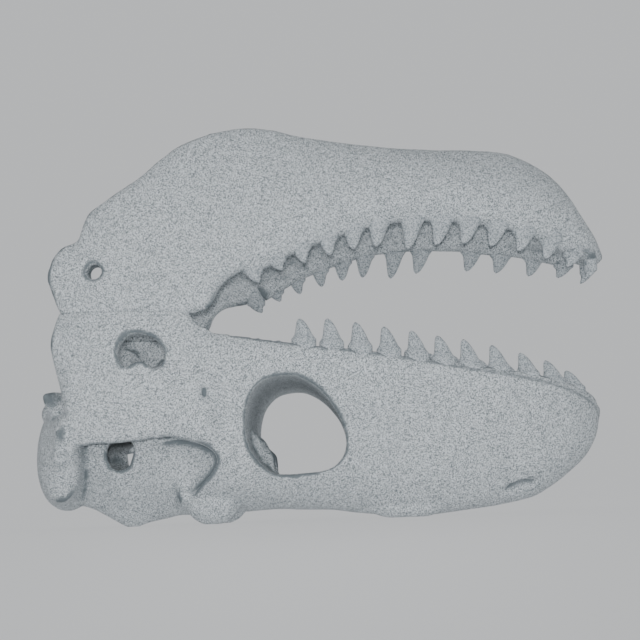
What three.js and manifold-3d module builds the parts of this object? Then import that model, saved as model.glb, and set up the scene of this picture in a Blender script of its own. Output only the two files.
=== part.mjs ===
// Skull of a tyrannosaur-like theropod dinosaur at life size, lying upside down on its skull roof
// with the lower jaw gaping above it. Millimetres, +X towards the snout, +Z up, so the animal's own
// up is -Z, its left side is -Y and its right side is +Y. Sizes are drawn above a base line, and the
// whole skull is then pitched and set down, so that its crest, brows and nose rest on the floor.
import * as THREE from "three";
import { mergeVertices } from "three/addons/utils/BufferGeometryUtils.js";
import Module from "manifold-3d";

const wasm = await Module();
wasm.setup();

// Driving dimensions
const LENGTH = 1270;
const PITCH = 2.04;
const REST_PLANE = 23.7;
const CENTRE_X = 18.8;
const SEAM = 0.2;
const JAW_JOINT_Z = 450;
const SNOUT_CUT_X = 96;
const PREMAXILLA_CUT_X = 468;
const CHEEK_CUT_Y = 146;
const OCCIPUT_CUT_Y = 196;
const OCCIPUT_CUT_X = -512;
const REACH = LENGTH;

const LEFT = -1;
const RIGHT = 1;

// A smooth curve through [position, value] pairs, flat beyond its ends.
function curve(pairs) {
  const slope = (i) => {
    if (i <= 0 || i >= pairs.length - 1) return 0;
    const before = (pairs[i][1] - pairs[i - 1][1]) / (pairs[i][0] - pairs[i - 1][0]);
    const after = (pairs[i + 1][1] - pairs[i][1]) / (pairs[i + 1][0] - pairs[i][0]);
    return before * after <= 0 ? 0 : (2 * before * after) / (before + after);
  };
  return (at) => {
    if (at <= pairs[0][0]) return pairs[0][1];
    for (let i = 1; i < pairs.length; i++) {
      if (at > pairs[i][0]) continue;
      const span = pairs[i][0] - pairs[i - 1][0];
      const t = (at - pairs[i - 1][0]) / span;
      const rise = t * t * (3 - 2 * t);
      const start = t * (1 - t) * (1 - t) * span * slope(i - 1);
      const end = t * t * (t - 1) * span * slope(i);
      return pairs[i - 1][1] * (1 - rise) + pairs[i][1] * rise + start + end;
    }
    return pairs.at(-1)[1];
  };
}

// A closed geometry as a solid that can be joined and cut.
function solid(geometry) {
  const bare = geometry.index ? geometry.toNonIndexed() : geometry.clone();
  for (const name of ["normal", "uv"]) bare.deleteAttribute(name);
  const merged = mergeVertices(bare, 1e-3);
  const made = new wasm.Manifold(
    new wasm.Mesh({
      numProp: 3,
      vertProperties: merged.attributes.position.array,
      triVerts: new Uint32Array(merged.index.array),
    }),
  );
  if (made.volume() >= 0) return made;
  const turned = new Uint32Array(merged.index.array).reverse();
  return new wasm.Manifold(
    new wasm.Mesh({ numProp: 3, vertProperties: merged.attributes.position.array, triVerts: turned }),
  );
}

// A solid back as a geometry.
function geometryOf(body) {
  const mesh = body.getMesh();
  const geometry = new THREE.BufferGeometry();
  geometry.setAttribute("position", new THREE.BufferAttribute(new Float32Array(mesh.vertProperties), 3));
  geometry.setIndex(new THREE.BufferAttribute(mesh.triVerts, 1));
  geometry.computeVertexNormals();
  return geometry;
}

const join = (bodies) => bodies.reduce((sum, body) => sum.add(body));

// The largest closed surface of a solid.
function largest(body) {
  return body.decompose().reduce((best, piece) => (piece.volume() > best.volume() ? piece : best));
}

// Skins rings of equal length, each a list of Vector3, into a closed solid with fan ends.
function skin(rings) {
  const sides = rings[0].length;
  const points = rings.flat();
  const faces = [];
  for (let r = 0; r + 1 < rings.length; r++)
    for (let s = 0; s < sides; s++) {
      const next = (s + 1) % sides;
      const [a, b] = [r * sides + s, r * sides + next];
      faces.push([a, b, b + sides], [a, b + sides, a + sides]);
    }
  for (const [ring, turned] of [[0, true], [rings.length - 1, false]]) {
    const middle = rings[ring].reduce((sum, p) => sum.clone().add(p)).divideScalar(sides);
    points.push(middle);
    for (let s = 0; s < sides; s++) {
      const edge = [ring * sides + s, ring * sides + ((s + 1) % sides)];
      faces.push([points.length - 1, ...(turned ? edge.reverse() : edge)]);
    }
  }
  const geometry = new THREE.BufferGeometry();
  geometry.setAttribute(
    "position",
    new THREE.Float32BufferAttribute(faces.flat().flatMap((i) => points[i].toArray()), 3),
  );
  return solid(geometry);
}

// One point of a superellipse of half-size 1: round is 2, and more is squarer.
function superellipse(angle, squareness) {
  const part = (v) => Math.sign(v) * Math.abs(v) ** (2 / squareness);
  return [part(Math.cos(angle)), part(Math.sin(angle))];
}

const spread = (from, to, count) =>
  Array.from({ length: count }, (_, i) => from + ((to - from) * i) / (count - 1));

// A box between two corners, for cutting.
function block(low, high) {
  const size = high.map((v, i) => v - low[i]);
  const box = new THREE.BoxGeometry(...size);
  box.translate(...low.map((v, i) => v + size[i] / 2));
  return solid(box);
}

// An egg-shaped lump with its own half-sizes.
function lump([x, y, z], [rx, ry, rz], columns = 16, rows = 10) {
  const ball = new THREE.SphereGeometry(1, columns, rows);
  ball.scale(rx, ry, rz);
  ball.translate(x, y, z);
  return solid(ball);
}

// Stops of [x, y, z, radius] moved to the left or the right side.
const toSide = (stops, side) => stops.map(([x, y, z, radius]) => [x, side * y, z, radius]);

// A round bar of changing radius along stops of [x, y, z, radius].
function bar(stops, sides = 10, steps = 4) {
  const path = new THREE.CatmullRomCurve3(stops.map(([x, y, z]) => new THREE.Vector3(x, y, z)));
  const radius = curve(stops.map((stop, i) => [i / (stops.length - 1), stop[3]]));
  const count = steps * (stops.length - 1) + 1;
  const frames = path.computeFrenetFrames(count - 1);
  const rings = spread(0, 1, count).map((t, i) =>
    Array.from({ length: sides }, (_, s) => {
      const angle = (2 * Math.PI * s) / sides;
      return path
        .getPoint(t)
        .addScaledVector(frames.normals[i], radius(t) * Math.cos(angle))
        .addScaledVector(frames.binormals[i], radius(t) * Math.sin(angle));
    }),
  );
  return skin(rings);
}

// An opening of an [x, z] outline, cut through from one side to the other.
function opening(outline, yFrom, yTo) {
  const points = outline.map(([x, z]) => new THREE.Vector2(x, z));
  const smooth = new THREE.SplineCurve([...points, points[0]]).getPoints(outline.length * 2);
  const shape = new THREE.Shape(smooth.slice(0, -1));
  const depth = Math.abs(yTo - yFrom);
  const geometry = new THREE.ExtrudeGeometry(shape, { depth, bevelEnabled: false });
  geometry.rotateX(Math.PI / 2);
  geometry.translate(0, Math.max(yFrom, yTo), 0);
  return solid(geometry);
}

// A recurved tooth: broad at the gum, with its root sunk in the jaw and its point leaning back
// towards the throat.
const TOOTH_RINGS = [
  { rise: 0, size: 1 },
  { rise: 0.4, size: 0.7 },
  { rise: 0.86, size: 0.33 },
];
function tooth({ x, y, rootZ, gumZ, tipX, tipZ, width, thickness, inward = 0 }) {
  const sides = 6;
  const ring = (centreX, centreY, z, size) =>
    Array.from({ length: sides }, (_, s) => {
      const angle = (2 * Math.PI * s) / sides;
      const across = (width / 2) * size * Math.cos(angle);
      return new THREE.Vector3(centreX + across, centreY + (thickness / 2) * size * Math.sin(angle), z);
    });
  const crown = TOOTH_RINGS.map(({ rise, size }) =>
    ring(x + (tipX - x) * rise ** 1.6, y + inward * rise, gumZ + (tipZ - gumZ) * rise, size),
  );
  const tip = ring(tipX, y + inward, tipZ, 0.1);
  return skin([ring(x, y, rootZ, 1), ...crown, tip]);
}

// Outer profile of the upper skull, drawn from the side: [x, height above the base line].
const jawMargin = curve([
  [-262, 451], [-248, 434], [-220, 425], [-140, 415], [-60, 405], [27, 396], [105, 387], [183, 377],
  [261, 365], [339, 353], [416, 342], [475, 331], [530, 317], [570, 302], [600, 284], [619, 262],
]);
const roofLine = curve([
  [-296, 34], [-245, 38], [-165, 42], [-129, 45], [-82, 47], [22, 45], [97, 38], [143, 34], [190, 30],
  [241, 34], [285, 41], [346, 49], [408, 60], [458, 71], [497, 91], [546, 128], [588, 171], [609, 211],
  [619, 250],
]);
const marginHalfWidth = curve([
  [-262, 258], [-180, 248], [-100, 236], [0, 224], [100, 212], [200, 202], [300, 188], [400, 170],
  [475, 148], [530, 122], [570, 92], [600, 54], [619, 14],
]);
const roofHalfWidth = curve([
  [-296, 112], [-262, 134], [-200, 142], [-120, 134], [0, 122], [100, 100], [200, 88], [300, 84], [400, 80],
  [475, 74], [530, 66], [570, 54], [600, 34], [619, 10],
]);

const FACE_BACK_X = -296;
const MARGIN_SQUARENESS = 6.5;
const ROOF_SQUARENESS = 2.9;
const flare = curve([[-296, 0.25], [-190, 0.35], [-60, 0.62], [100, 0.8]]);
// The face and snout: one tapering box-like form with a narrow roof and a broad jaw margin.
function faceForm() {
  const stations = [FACE_BACK_X, ...spread(-230, 520, 16), 545, 566, 584, 599, 611, 619];
  const sides = 28;
  const rings = stations.map((x) => {
    const middle = (jawMargin(x) + roofLine(x)) / 2;
    const half = (jawMargin(x) - roofLine(x)) / 2;
    return Array.from({ length: sides }, (_, s) => {
      const angle = (2 * Math.PI * (s + 0.5)) / sides;
      const [across, up] = superellipse(angle, Math.sin(angle) > 0 ? MARGIN_SQUARENESS : ROOF_SQUARENESS);
      const blend = (up + 1) / 2;
      const halfWidth = roofHalfWidth(x) + (marginHalfWidth(x) - roofHalfWidth(x)) * blend ** flare(x);
      return new THREE.Vector3(x, across * halfWidth, middle + up * half);
    });
  });
  return skin(rings);
}

// The hollow of the palate between the two upper tooth rows.
const PALATE_DEPTH = 34;
const RIM = 30;
function palateHollow() {
  const stations = [...spread(-300, 520, 12), 548, 566];
  const sides = 20;
  const rings = stations.map((x) => {
    const halfWidth = Math.max(8, marginHalfWidth(x) - RIM);
    return Array.from({ length: sides }, (_, s) => {
      const [across, up] = superellipse((2 * Math.PI * s) / sides, 4.5);
      return new THREE.Vector3(x, across * halfWidth, jawMargin(x) + up * PALATE_DEPTH);
    });
  });
  return skin(rings);
}

// The braincase with the pointed crest that the skull rests on.
const crestLine = curve([
  [-560, 92], [-535, 58], [-503, 48], [-465, 30], [-436, 13], [-413, 4], [-392, 12], [-371, 20],
  [-338, 27], [-294, 36], [-200, 42],
]);
const braincaseTop = curve([[-560, 300], [-460, 340], [-300, 372], [-160, 385]]);
const braincaseHalfWidth = curve([
  [-560, 110], [-500, 126], [-430, 130], [-330, 126], [-240, 130], [-160, 134],
]);
const crestHalfWidth = curve([[-560, 70], [-480, 60], [-413, 40], [-340, 70], [-240, 108], [-160, 128]]);
function braincaseForm() {
  const sides = 20;
  const rings = spread(-560, -160, 15).map((x) => {
    const [low, high] = [crestLine(x), braincaseTop(x)];
    return Array.from({ length: sides }, (_, s) => {
      const [across, up] = superellipse((2 * Math.PI * s) / sides, 2.5);
      const blend = Math.min(1, ((up + 1) / 2) * 3);
      const halfWidth = crestHalfWidth(x) + (braincaseHalfWidth(x) - crestHalfWidth(x)) * blend;
      return new THREE.Vector3(x, across * halfWidth, (low + high) / 2 + (up * (high - low)) / 2);
    });
  });
  return skin(rings);
}

// The occiput: a broad upright crest across the back of the skull, with its condyle and processes.
const OCCIPUT_HALF_WIDTH = 226;
const CONDYLE = { at: [-598, 0, 258], size: [26, 32, 28] };
const PROCESS_STOPS = [[-550, 110, 222, 44], [-560, 160, 262, 30], [-568, 190, 292, 18]];
const occiputMiddleX = curve([[0, -560], [130, -546], [224, -520]]);
const occiputHalfLength = curve([[0, 64], [130, 50], [200, 42], [224, 22]]);
const occiputMiddleZ = curve([[0, 167], [130, 172], [224, 208]]);
const occiputHalfHeight = curve([[0, 124], [130, 112], [200, 76], [224, 44]]);
function occiputForm() {
  const sides = 18;
  const rings = spread(-OCCIPUT_HALF_WIDTH, OCCIPUT_HALF_WIDTH, 17).map((y) => {
    const out = Math.abs(y);
    return Array.from({ length: sides }, (_, s) => {
      const [along, up] = superellipse((2 * Math.PI * s) / sides, 2.2);
      return new THREE.Vector3(
        occiputMiddleX(out) + along * occiputHalfLength(out),
        y,
        occiputMiddleZ(out) + up * occiputHalfHeight(out),
      );
    });
  });
  const processes = [LEFT, RIGHT].map((side) => bar(toSide(PROCESS_STOPS, side), 8, 3));
  return join([skin(rings), lump(CONDYLE.at, CONDYLE.size, 12, 8), ...processes]);
}

// A cheek: a tall plate from the back of the eye opening to the jaw joint.
const cheekLow = curve([
  [-552, 372], [-546, 345], [-534, 303], [-517, 240], [-504, 192], [-488, 172], [-463, 176], [-422, 179],
  [-360, 185], [-299, 193], [-255, 186], [-225, 168], [-190, 150],
]);
const cheekHigh = curve([
  [-552, 404], [-546, 436], [-534, 462], [-500, 490], [-274, 490], [-262, 452], [-248, 434],
  [-220, 424], [-190, 419],
]);
const cheekHalfWidth = curve([
  [-552, 236], [-500, 250], [-400, 260], [-300, 260], [-255, 256], [-220, 245], [-190, 216],
]);
const CHEEK_THICKNESS = 40;
function cheekForm(side) {
  const stations = [-552, -546, -538, -526, -512, ...spread(-496, -286, 7), -266, -256, -248, -220, -190];
  const sides = 20;
  const rings = stations.map((x) => {
    const [low, high] = [cheekLow(x), cheekHigh(x)];
    return Array.from({ length: sides }, (_, s) => {
      const [across, up] = superellipse((2 * Math.PI * s) / sides, 3.2);
      const bow = 1 - 0.05 * up * up;
      const y = cheekHalfWidth(x) * bow - CHEEK_THICKNESS / 2 + (across * CHEEK_THICKNESS) / 2;
      return new THREE.Vector3(x, side * y, (low + high) / 2 + (up * (high - low)) / 2);
    });
  });
  return skin(rings);
}

// The bars inside a cheek that tie it to the middle of the skull at the jaw joint and the palate.
const QUADRATE_STOPS = [[-470, 222, 410, 34], [-488, 170, 350, 32], [-500, 90, 270, 40]];
const PTERYGOID_STOPS = [[-240, 228, 384, 30], [-264, 165, 372, 26], [-292, 60, 346, 40]];
const cheekBars = (side) =>
  join([QUADRATE_STOPS, PTERYGOID_STOPS].map((stops) => bar(toSide(stops, side), 8, 3)));

// The bar that ties the back of a cheek to the occiput behind the temporal opening.
const SQUAMOSAL_STOPS = [[-512, 222, 205, 26], [-514, 200, 150, 28], [-510, 150, 90, 26]];
const squamosal = (side) => bar(toSide(SQUAMOSAL_STOPS, side), 8, 3);

// The brow boss at the back of the skull roof, over the eye, which the skull rests on.
const BROW_BOSS = { x: -238, y: 92, z: 62, size: [64, 46, 50] };
const browBoss = (side) => lump([BROW_BOSS.x, side * BROW_BOSS.y, BROW_BOSS.z], BROW_BOSS.size, 14, 8);

// The paired bosses of the nose that the skull rests on in front.
const NASAL_BOSS = { x: 186, y: 36, z: 52, size: [84, 40, 25] };
const nasalBoss = (side) => lump([NASAL_BOSS.x, side * NASAL_BOSS.y, NASAL_BOSS.z], NASAL_BOSS.size, 14, 8);

// The eye opening, straight through the skull, and the smaller openings of each side.
const ORBIT = [
  [-62, 322], [-108, 312], [-135, 282], [-146, 241], [-145, 199], [-136, 166], [-111, 135], [-86, 121],
  [-34, 121], [17, 129], [46, 146], [60, 176], [56, 212], [38, 255], [3, 295], [-30, 316],
];
const FENESTRA = [
  [-408, 361], [-402, 386], [-382, 404], [-350, 402], [-322, 386], [-309, 362], [-316, 338], [-334, 332],
  [-352, 346], [-372, 345], [-392, 334],
];
const FENESTRA_INNER_Y = 190;
const TEMPORAL = [
  [-500, 60], [-492, 110], [-489, 150], [-480, 172], [-463, 177], [-422, 179], [-360, 185], [-299, 193],
  [-250, 184], [-216, 168], [-204, 148], [-216, 122], [-244, 96], [-268, 66], [-288, 34],
  [-300, -60], [-500, -60],
];
const TEMPORAL_DEPTH_Y = 138;
const TEMPORAL_WINDOW = [[-448, 186], [-448, 152], [-436, 138], [-416, 138], [-402, 152], [-398, 186]];
const NOSTRIL = { x: 434, y: 102, z: 92, size: [42, 60, 19], tilt: -0.2 };
const EAR_PIT = { x: -228, y: 256, z: 283, size: [9, 30, 20] };
const SURANGULAR_HOLE = { x: -462, y: 240, z: 536, size: [17, 90, 18] };

function nostril(side) {
  const ball = new THREE.SphereGeometry(1, 14, 8);
  ball.scale(...NOSTRIL.size);
  ball.rotateY(NOSTRIL.tilt);
  ball.translate(NOSTRIL.x, side * NOSTRIL.y, NOSTRIL.z);
  return solid(ball);
}

// Upper teeth, from the throat to the snout: [tip x, tip height].
const UPPER_TIPS = [
  [-36, 443], [22, 444], [81, 437], [141, 428], [199, 420], [254, 410], [309, 403], [370, 392],
  [432, 377], [488, 363], [536, 344],
];
const UPPER_TOOTH = { width: 54, thickness: 28, lean: 6, sunk: 46, rimHeight: 2 };
function upperTeeth(side) {
  return UPPER_TIPS.map(([tipX, tipZ]) => {
    const x = tipX + UPPER_TOOTH.lean;
    const y = side * (marginHalfWidth(x) - RIM - 4);
    return tooth({
      x, y, tipX, tipZ,
      rootZ: jawMargin(x) - UPPER_TOOTH.sunk,
      gumZ: jawMargin(x) - UPPER_TOOTH.rimHeight,
      width: UPPER_TOOTH.width,
      thickness: UPPER_TOOTH.thickness,
      inward: -side * 4,
    });
  });
}

// The lower jaw: its lower edge points up here, and its tooth margin faces down.
const jawEdge = curve([
  [-564, 536], [-561, 556], [-550, 578], [-533, 596], [-508, 604], [-496, 618], [-493, 640], [-483, 666],
  [-452, 691], [-410, 722], [-376, 748], [-340, 783], [-300, 816], [-254, 839], [-209, 854], [-140, 864],
  [-94, 860], [-49, 850], [-12, 845], [49, 838], [135, 831], [221, 829], [307, 830], [371, 831],
  [416, 828], [453, 819], [485, 806], [512, 789], [536, 766], [569, 722], [602, 676], [625, 640], [634, 612],
]);
const toothMargin = curve([
  [-564, 520], [-556, 500], [-546, 474], [-533, 446], [-500, 410], [-274, 410], [-258, 446], [-224, 461],
  [-213, 476], [-208, 494], [-197, 512], [-179, 525], [-159, 539], [-107, 566], [-44, 603], [26, 631],
  [96, 653], [168, 669], [260, 673], [353, 669], [426, 656], [499, 640], [540, 622], [575, 602],
  [616, 584], [634, 596],
]);
// How far the right jaw's margin and teeth stand behind the left ones.
const rightShift = curve([
  [-400, 0], [-330, 60], [-250, 66], [-170, 22], [-100, 30], [380, 30], [560, 0],
]);
const shiftOf = (x, side) => (side === RIGHT ? rightShift(x) : 0);
const lowerMargin = (x, side) => toothMargin(x + shiftOf(x, side));
const jawHalfWidth = curve([
  [-564, 236], [-500, 246], [-400, 256], [-300, 254], [-200, 244], [-100, 234], [0, 224], [100, 214],
  [200, 204], [300, 190], [400, 170], [475, 146], [532, 118], [574, 88], [608, 54], [634, 18],
]);
const jawThickness = curve([
  [-564, 30], [-500, 52], [-300, 54], [0, 56], [300, 60], [400, 72], [460, 110], [500, 150], [634, 150],
]);
const edgeLean = curve([[-564, 6], [-300, 34], [0, 50], [300, 66], [450, 60], [566, 24], [634, 4]]);

function ramusForm(side) {
  const stations = [
    -564, -558, -548, -536, -520, -502, -494, -486, -466, ...spread(-430, -270, 5), -250, -232, -218,
    -210, -198, -170, ...spread(-125, 500, 14), 530, 558, 583, 605, 621, 634,
  ];
  const sides = 20;
  const rings = stations.map((x) => {
    const [low, high] = [lowerMargin(x, side), jawEdge(x)];
    return Array.from({ length: sides }, (_, s) => {
      const [across, up] = superellipse((2 * Math.PI * s) / sides, 2.8);
      const blend = (up + 1) / 2;
      const outer = jawHalfWidth(x) - edgeLean(x) * blend ** 2;
      const thick = jawThickness(x);
      return new THREE.Vector3(
        x,
        side * (outer - thick / 2 + (across * thick) / 2),
        (low + high) / 2 + (up * (high - low)) / 2,
      );
    });
  });
  return skin(rings);
}

// Lower teeth, from the throat to the chin: [tip x, tip height].
const LOWER_TIPS = [
  [-122, 517], [-75, 544], [-26, 561], [27, 578], [77, 592], [126, 598], [193, 594], [254, 604],
  [313, 608], [373, 605], [434, 597], [493, 584], [546, 573], [590, 552],
];
const LOWER_WIDTH = curve([[-122, 44], [77, 50], [193, 56], [434, 54], [546, 46], [590, 30]]);
const LOWER_LEAN = curve([[-122, -12], [27, -5], [126, 4], [254, 12], [590, 13]]);
const LOWER_TOOTH = { sunk: 34, gum: 14, thickness: 28 };
const MISSING_RIGHT_TOOTH = 8;
const SYMPHYSIS_TOOTH_Y = 24;
function lowerTeeth(side) {
  return LOWER_TIPS.filter((_, i) => side === LEFT || i !== MISSING_RIGHT_TOOTH).map(([drawnX, tipZ]) => {
    const tipX = drawnX - shiftOf(drawnX, side);
    const x = tipX + LOWER_LEAN(drawnX);
    return tooth({
      x, tipX, tipZ,
      y: side * Math.max(SYMPHYSIS_TOOTH_Y, jawHalfWidth(x) - LOWER_TOOTH.sunk),
      rootZ: lowerMargin(x, side) + LOWER_TOOTH.sunk,
      gumZ: lowerMargin(x, side) - LOWER_TOOTH.gum,
      width: LOWER_WIDTH(drawnX),
      thickness: LOWER_TOOTH.thickness,
      inward: side * 3,
    });
  });
}

// The wider shelf that the lower teeth stand in, just inside the lip of the jaw.
const SHELF = { from: -150, to: 560, inset: 40, leastY: 20, rise: 5, radius: 22 };
function toothShelf(side) {
  const stops = spread(SHELF.from, SHELF.to, 9).map((x) => {
    const y = side * Math.max(SHELF.leastY, jawHalfWidth(x) - SHELF.inset);
    return [x, y, lowerMargin(x, side) + SHELF.rise, SHELF.radius];
  });
  return bar(stops, 8, 2);
}

function lowerJaw(side) {
  const { x, y, z, size } = SURANGULAR_HOLE;
  const hole = lump([x, side * y, z], size, 14, 8);
  const whole = join([ramusForm(side), toothShelf(side), ...lowerTeeth(side)]).subtract(hole);
  const half = side === LEFT ? [-REACH, -SEAM] : [SEAM, REACH];
  const room = block([-REACH, half[0], JAW_JOINT_Z + SEAM], [REACH, half[1], REACH]);
  return largest(whole.intersect(room));
}

// The whole upper skull, before it is parted.
function upperSkull() {
  const forms = join([
    faceForm(),
    braincaseForm(),
    occiputForm(),
    ...[LEFT, RIGHT].flatMap((side) => [cheekForm(side), cheekBars(side)]),
  ]);
  const cuts = [
    palateHollow(),
    opening(ORBIT, -REACH, REACH),
    opening(TEMPORAL_WINDOW, -TEMPORAL_DEPTH_Y, TEMPORAL_DEPTH_Y),
    ...[LEFT, RIGHT].flatMap((side) => [
      opening(FENESTRA, side * FENESTRA_INNER_Y, side * REACH),
      opening(TEMPORAL, side * TEMPORAL_DEPTH_Y, side * REACH),
      nostril(side),
      lump([EAR_PIT.x, side * EAR_PIT.y, EAR_PIT.z], EAR_PIT.size, 10, 6),
    ]),
  ];
  const bored = cuts.reduce((body, cut) => body.subtract(cut), forms);
  const grown = [LEFT, RIGHT].flatMap((side) => [
    squamosal(side), browBoss(side), nasalBoss(side), ...upperTeeth(side),
  ]);
  const aboveFloor = block([-REACH, -REACH, REST_PLANE], [REACH, REACH, REACH]).rotate([0, -PITCH, 0]);
  const underJaw = block([-REACH, -REACH, -REACH], [REACH, REACH, JAW_JOINT_Z - SEAM]);
  return join([bored, ...grown]).intersect(underJaw).intersect(aboveFloor);
}

// The rooms that part the upper skull, a thin seam apart: each is one or two boxes seen from above,
// [low x, low y, high x, high y].
const ROOMS = {
  snout_tip: [[PREMAXILLA_CUT_X + SEAM, -REACH, REACH, REACH]],
  snout: [[SNOUT_CUT_X + SEAM, -REACH, PREMAXILLA_CUT_X - SEAM, REACH]],
  braincase: [[OCCIPUT_CUT_X + SEAM, SEAM - CHEEK_CUT_Y, SNOUT_CUT_X - SEAM, CHEEK_CUT_Y - SEAM]],
  cheek_left: [
    [OCCIPUT_CUT_X - SEAM, -REACH, SNOUT_CUT_X - SEAM, -CHEEK_CUT_Y - SEAM],
    [-REACH, -REACH, OCCIPUT_CUT_X, -OCCIPUT_CUT_Y - SEAM],
  ],
  cheek_right: [
    [OCCIPUT_CUT_X - SEAM, CHEEK_CUT_Y + SEAM, SNOUT_CUT_X - SEAM, REACH],
    [-REACH, OCCIPUT_CUT_Y + SEAM, OCCIPUT_CUT_X, REACH],
  ],
  occiput: [[-REACH, SEAM - OCCIPUT_CUT_Y, OCCIPUT_CUT_X - 2 * SEAM, OCCIPUT_CUT_Y - SEAM]],
};

const BONE = { color: 0xb4b8ba, roughness: 0.75, metalness: 0 };

const skull = new THREE.Group();
skull.name = "skull";
function place(name, body) {
  const level = body.rotate([0, PITCH, 0]);
  const mesh = new THREE.Mesh(geometryOf(level), new THREE.MeshStandardMaterial(BONE));
  mesh.name = name;
  mesh.position.set(-CENTRE_X, 0, -REST_PLANE);
  skull.add(mesh);
}

const upper = upperSkull();
for (const [name, boxes] of Object.entries(ROOMS)) {
  const room = join(boxes.map(([x0, y0, x1, y1]) => block([x0, y0, -REACH], [x1, y1, REACH])));
  place(name, largest(upper.intersect(room)));
}
place("lower_jaw_left", lowerJaw(LEFT));
place("lower_jaw_right", lowerJaw(RIGHT));

export default skull;
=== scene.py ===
"""A life-size theropod dinosaur skull lying upside down with its jaw gaping, dressed over its solids.

Shapes are drawn in millimetres above a base line, with +X to the snout and +Z up, and are set into
the model's own frame, in metres, when a piece is finished.
"""

from __future__ import annotations

import logging
import math
from dataclasses import dataclass
from enum import Enum
from typing import Callable, Sequence

import bmesh
import bpy
import numpy as np
from mathutils import Matrix, Vector, noise

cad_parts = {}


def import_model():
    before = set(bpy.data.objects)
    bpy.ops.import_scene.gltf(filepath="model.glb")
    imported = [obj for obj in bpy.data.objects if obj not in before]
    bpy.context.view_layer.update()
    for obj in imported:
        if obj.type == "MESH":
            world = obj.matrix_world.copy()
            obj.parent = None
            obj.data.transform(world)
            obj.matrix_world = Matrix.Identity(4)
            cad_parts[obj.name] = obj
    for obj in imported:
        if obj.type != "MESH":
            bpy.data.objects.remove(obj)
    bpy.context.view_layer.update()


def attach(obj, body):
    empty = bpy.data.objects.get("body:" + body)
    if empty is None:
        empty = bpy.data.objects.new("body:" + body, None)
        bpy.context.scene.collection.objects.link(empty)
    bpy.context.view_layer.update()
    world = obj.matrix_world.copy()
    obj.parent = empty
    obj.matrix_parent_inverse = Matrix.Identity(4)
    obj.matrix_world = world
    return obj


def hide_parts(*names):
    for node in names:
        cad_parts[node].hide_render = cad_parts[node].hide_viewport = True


LOG = logging.getLogger("skull")
MILLIMETRE = 0.001
# Where the drawing stands in the level model
PITCH = math.radians(2.04)
REST_PLANE = 23.7
CENTRE_X = 18.8
# The jaw joint's height, its half gap, and a reach beyond every shape
JAW_JOINT_Z = 450.0
SEAM = 0.2
FAR = 1400.0
# The bones' skin: its faces, its rounding, its swells, and what counts as a hollow or a rim, which the
# finish darkens as painted shade
VOXEL = 5.5
SOFTENING = 5
SWELL_REACH = 60.0
SWELL_DEPTH = 1.2
FINE_REACH = 0.3
FINE_SHARE = 0.35
HOLLOW_ROUNDS, HOLLOW_DEPTH = 16, 2.6
RIM_ROUNDS, RIM_DEPTH = 3, 0.6
# How finely outlines and bars are drawn
OUTLINE_STEPS = 5
BAR_NUDGE = 0.02

Outline = tuple[tuple[float, float], ...]
Place = tuple[float, float, float]
Colour = tuple[float, float, float, float]


class Side(Enum):
    """The animal's left side is -Y and its right side +Y."""

    LEFT = -1
    RIGHT = 1

    @property
    def word(self) -> str:
        """The side's name, as piece names use it."""
        return self.name.lower()


class Cut(Enum):
    """How two solids are put together."""

    JOIN = "UNION"
    TAKE_AWAY = "DIFFERENCE"
    KEEP_COMMON = "INTERSECT"


@dataclass(frozen=True)
class Curve:
    """A smooth line through (position, value) pairs, flat beyond its ends."""

    points: tuple[tuple[float, float], ...]

    def slope(self, i: int) -> float:
        """The slope at point i, level where the line turns back."""
        if i <= 0 or i >= len(self.points) - 1:
            return 0.0
        (x0, y0), (x1, y1), (x2, y2) = self.points[i - 1 : i + 2]
        before, after = (y1 - y0) / (x1 - x0), (y2 - y1) / (x2 - x1)
        return 0.0 if before * after <= 0 else 2 * before * after / (before + after)

    def __call__(self, at: float) -> float:
        """The value at a position."""
        if at <= self.points[0][0]:
            return self.points[0][1]
        for i in range(1, len(self.points)):
            (x0, y0), (x1, y1) = self.points[i - 1], self.points[i]
            if at > x1:
                continue
            span, t = x1 - x0, (at - x0) / (x1 - x0)
            rise = t * t * (3 - 2 * t)
            start = t * (1 - t) ** 2 * span * self.slope(i - 1)
            end = t * t * (t - 1) * span * self.slope(i)
            return y0 * (1 - rise) + y1 * rise + start + end
        return self.points[-1][1]


def superellipse(angle: float, squareness: float) -> tuple[float, float]:
    """One point of a rounded square of half-size 1.

    Args:
        angle: where on the outline, in radians.
        squareness: 2 for a circle, and more for a squarer one.

    Returns:
        The point across and up.
    """
    across, up = math.cos(angle), math.sin(angle)
    power = 2 / squareness
    return math.copysign(abs(across) ** power, across), math.copysign(abs(up) ** power, up)


def new_object(name: str, bm: bmesh.types.BMesh) -> bpy.types.Object:
    """Turns a bmesh into an object in the scene, with its faces pointing outwards.

    Args:
        name: the object's name.
        bm: the closed shape, which is freed.

    Returns:
        The new object.
    """
    bmesh.ops.recalc_face_normals(bm, faces=bm.faces)
    mesh = bpy.data.meshes.new(name)
    bm.to_mesh(mesh)
    bm.free()
    made = bpy.data.objects.new(name, mesh)
    bpy.context.scene.collection.objects.link(made)
    return made


def tube(
    name: str, rows: int, columns: int, place: Callable[[float, float], Vector]
) -> bpy.types.Object:
    """Wraps a grid into a closed tube with flat ends.

    Args:
        name: the object's name.
        rows: steps along the tube.
        columns: steps round it.
        place: gives a point for how far along, 0 to 1, and its angle round, 0 to 2 pi.

    Returns:
        The tube.
    """
    bm = bmesh.new()
    bmesh.ops.create_grid(bm, x_segments=rows, y_segments=columns, size=0.5)
    for vert in bm.verts:
        vert.co = place(vert.co.x + 0.5, (vert.co.y + 0.5) * 2 * math.pi)
    bmesh.ops.remove_doubles(bm, verts=bm.verts, dist=1e-3)
    bmesh.ops.holes_fill(bm, edges=[e for e in bm.edges if e.is_boundary], sides=0)
    return new_object(name, bm)


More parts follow.
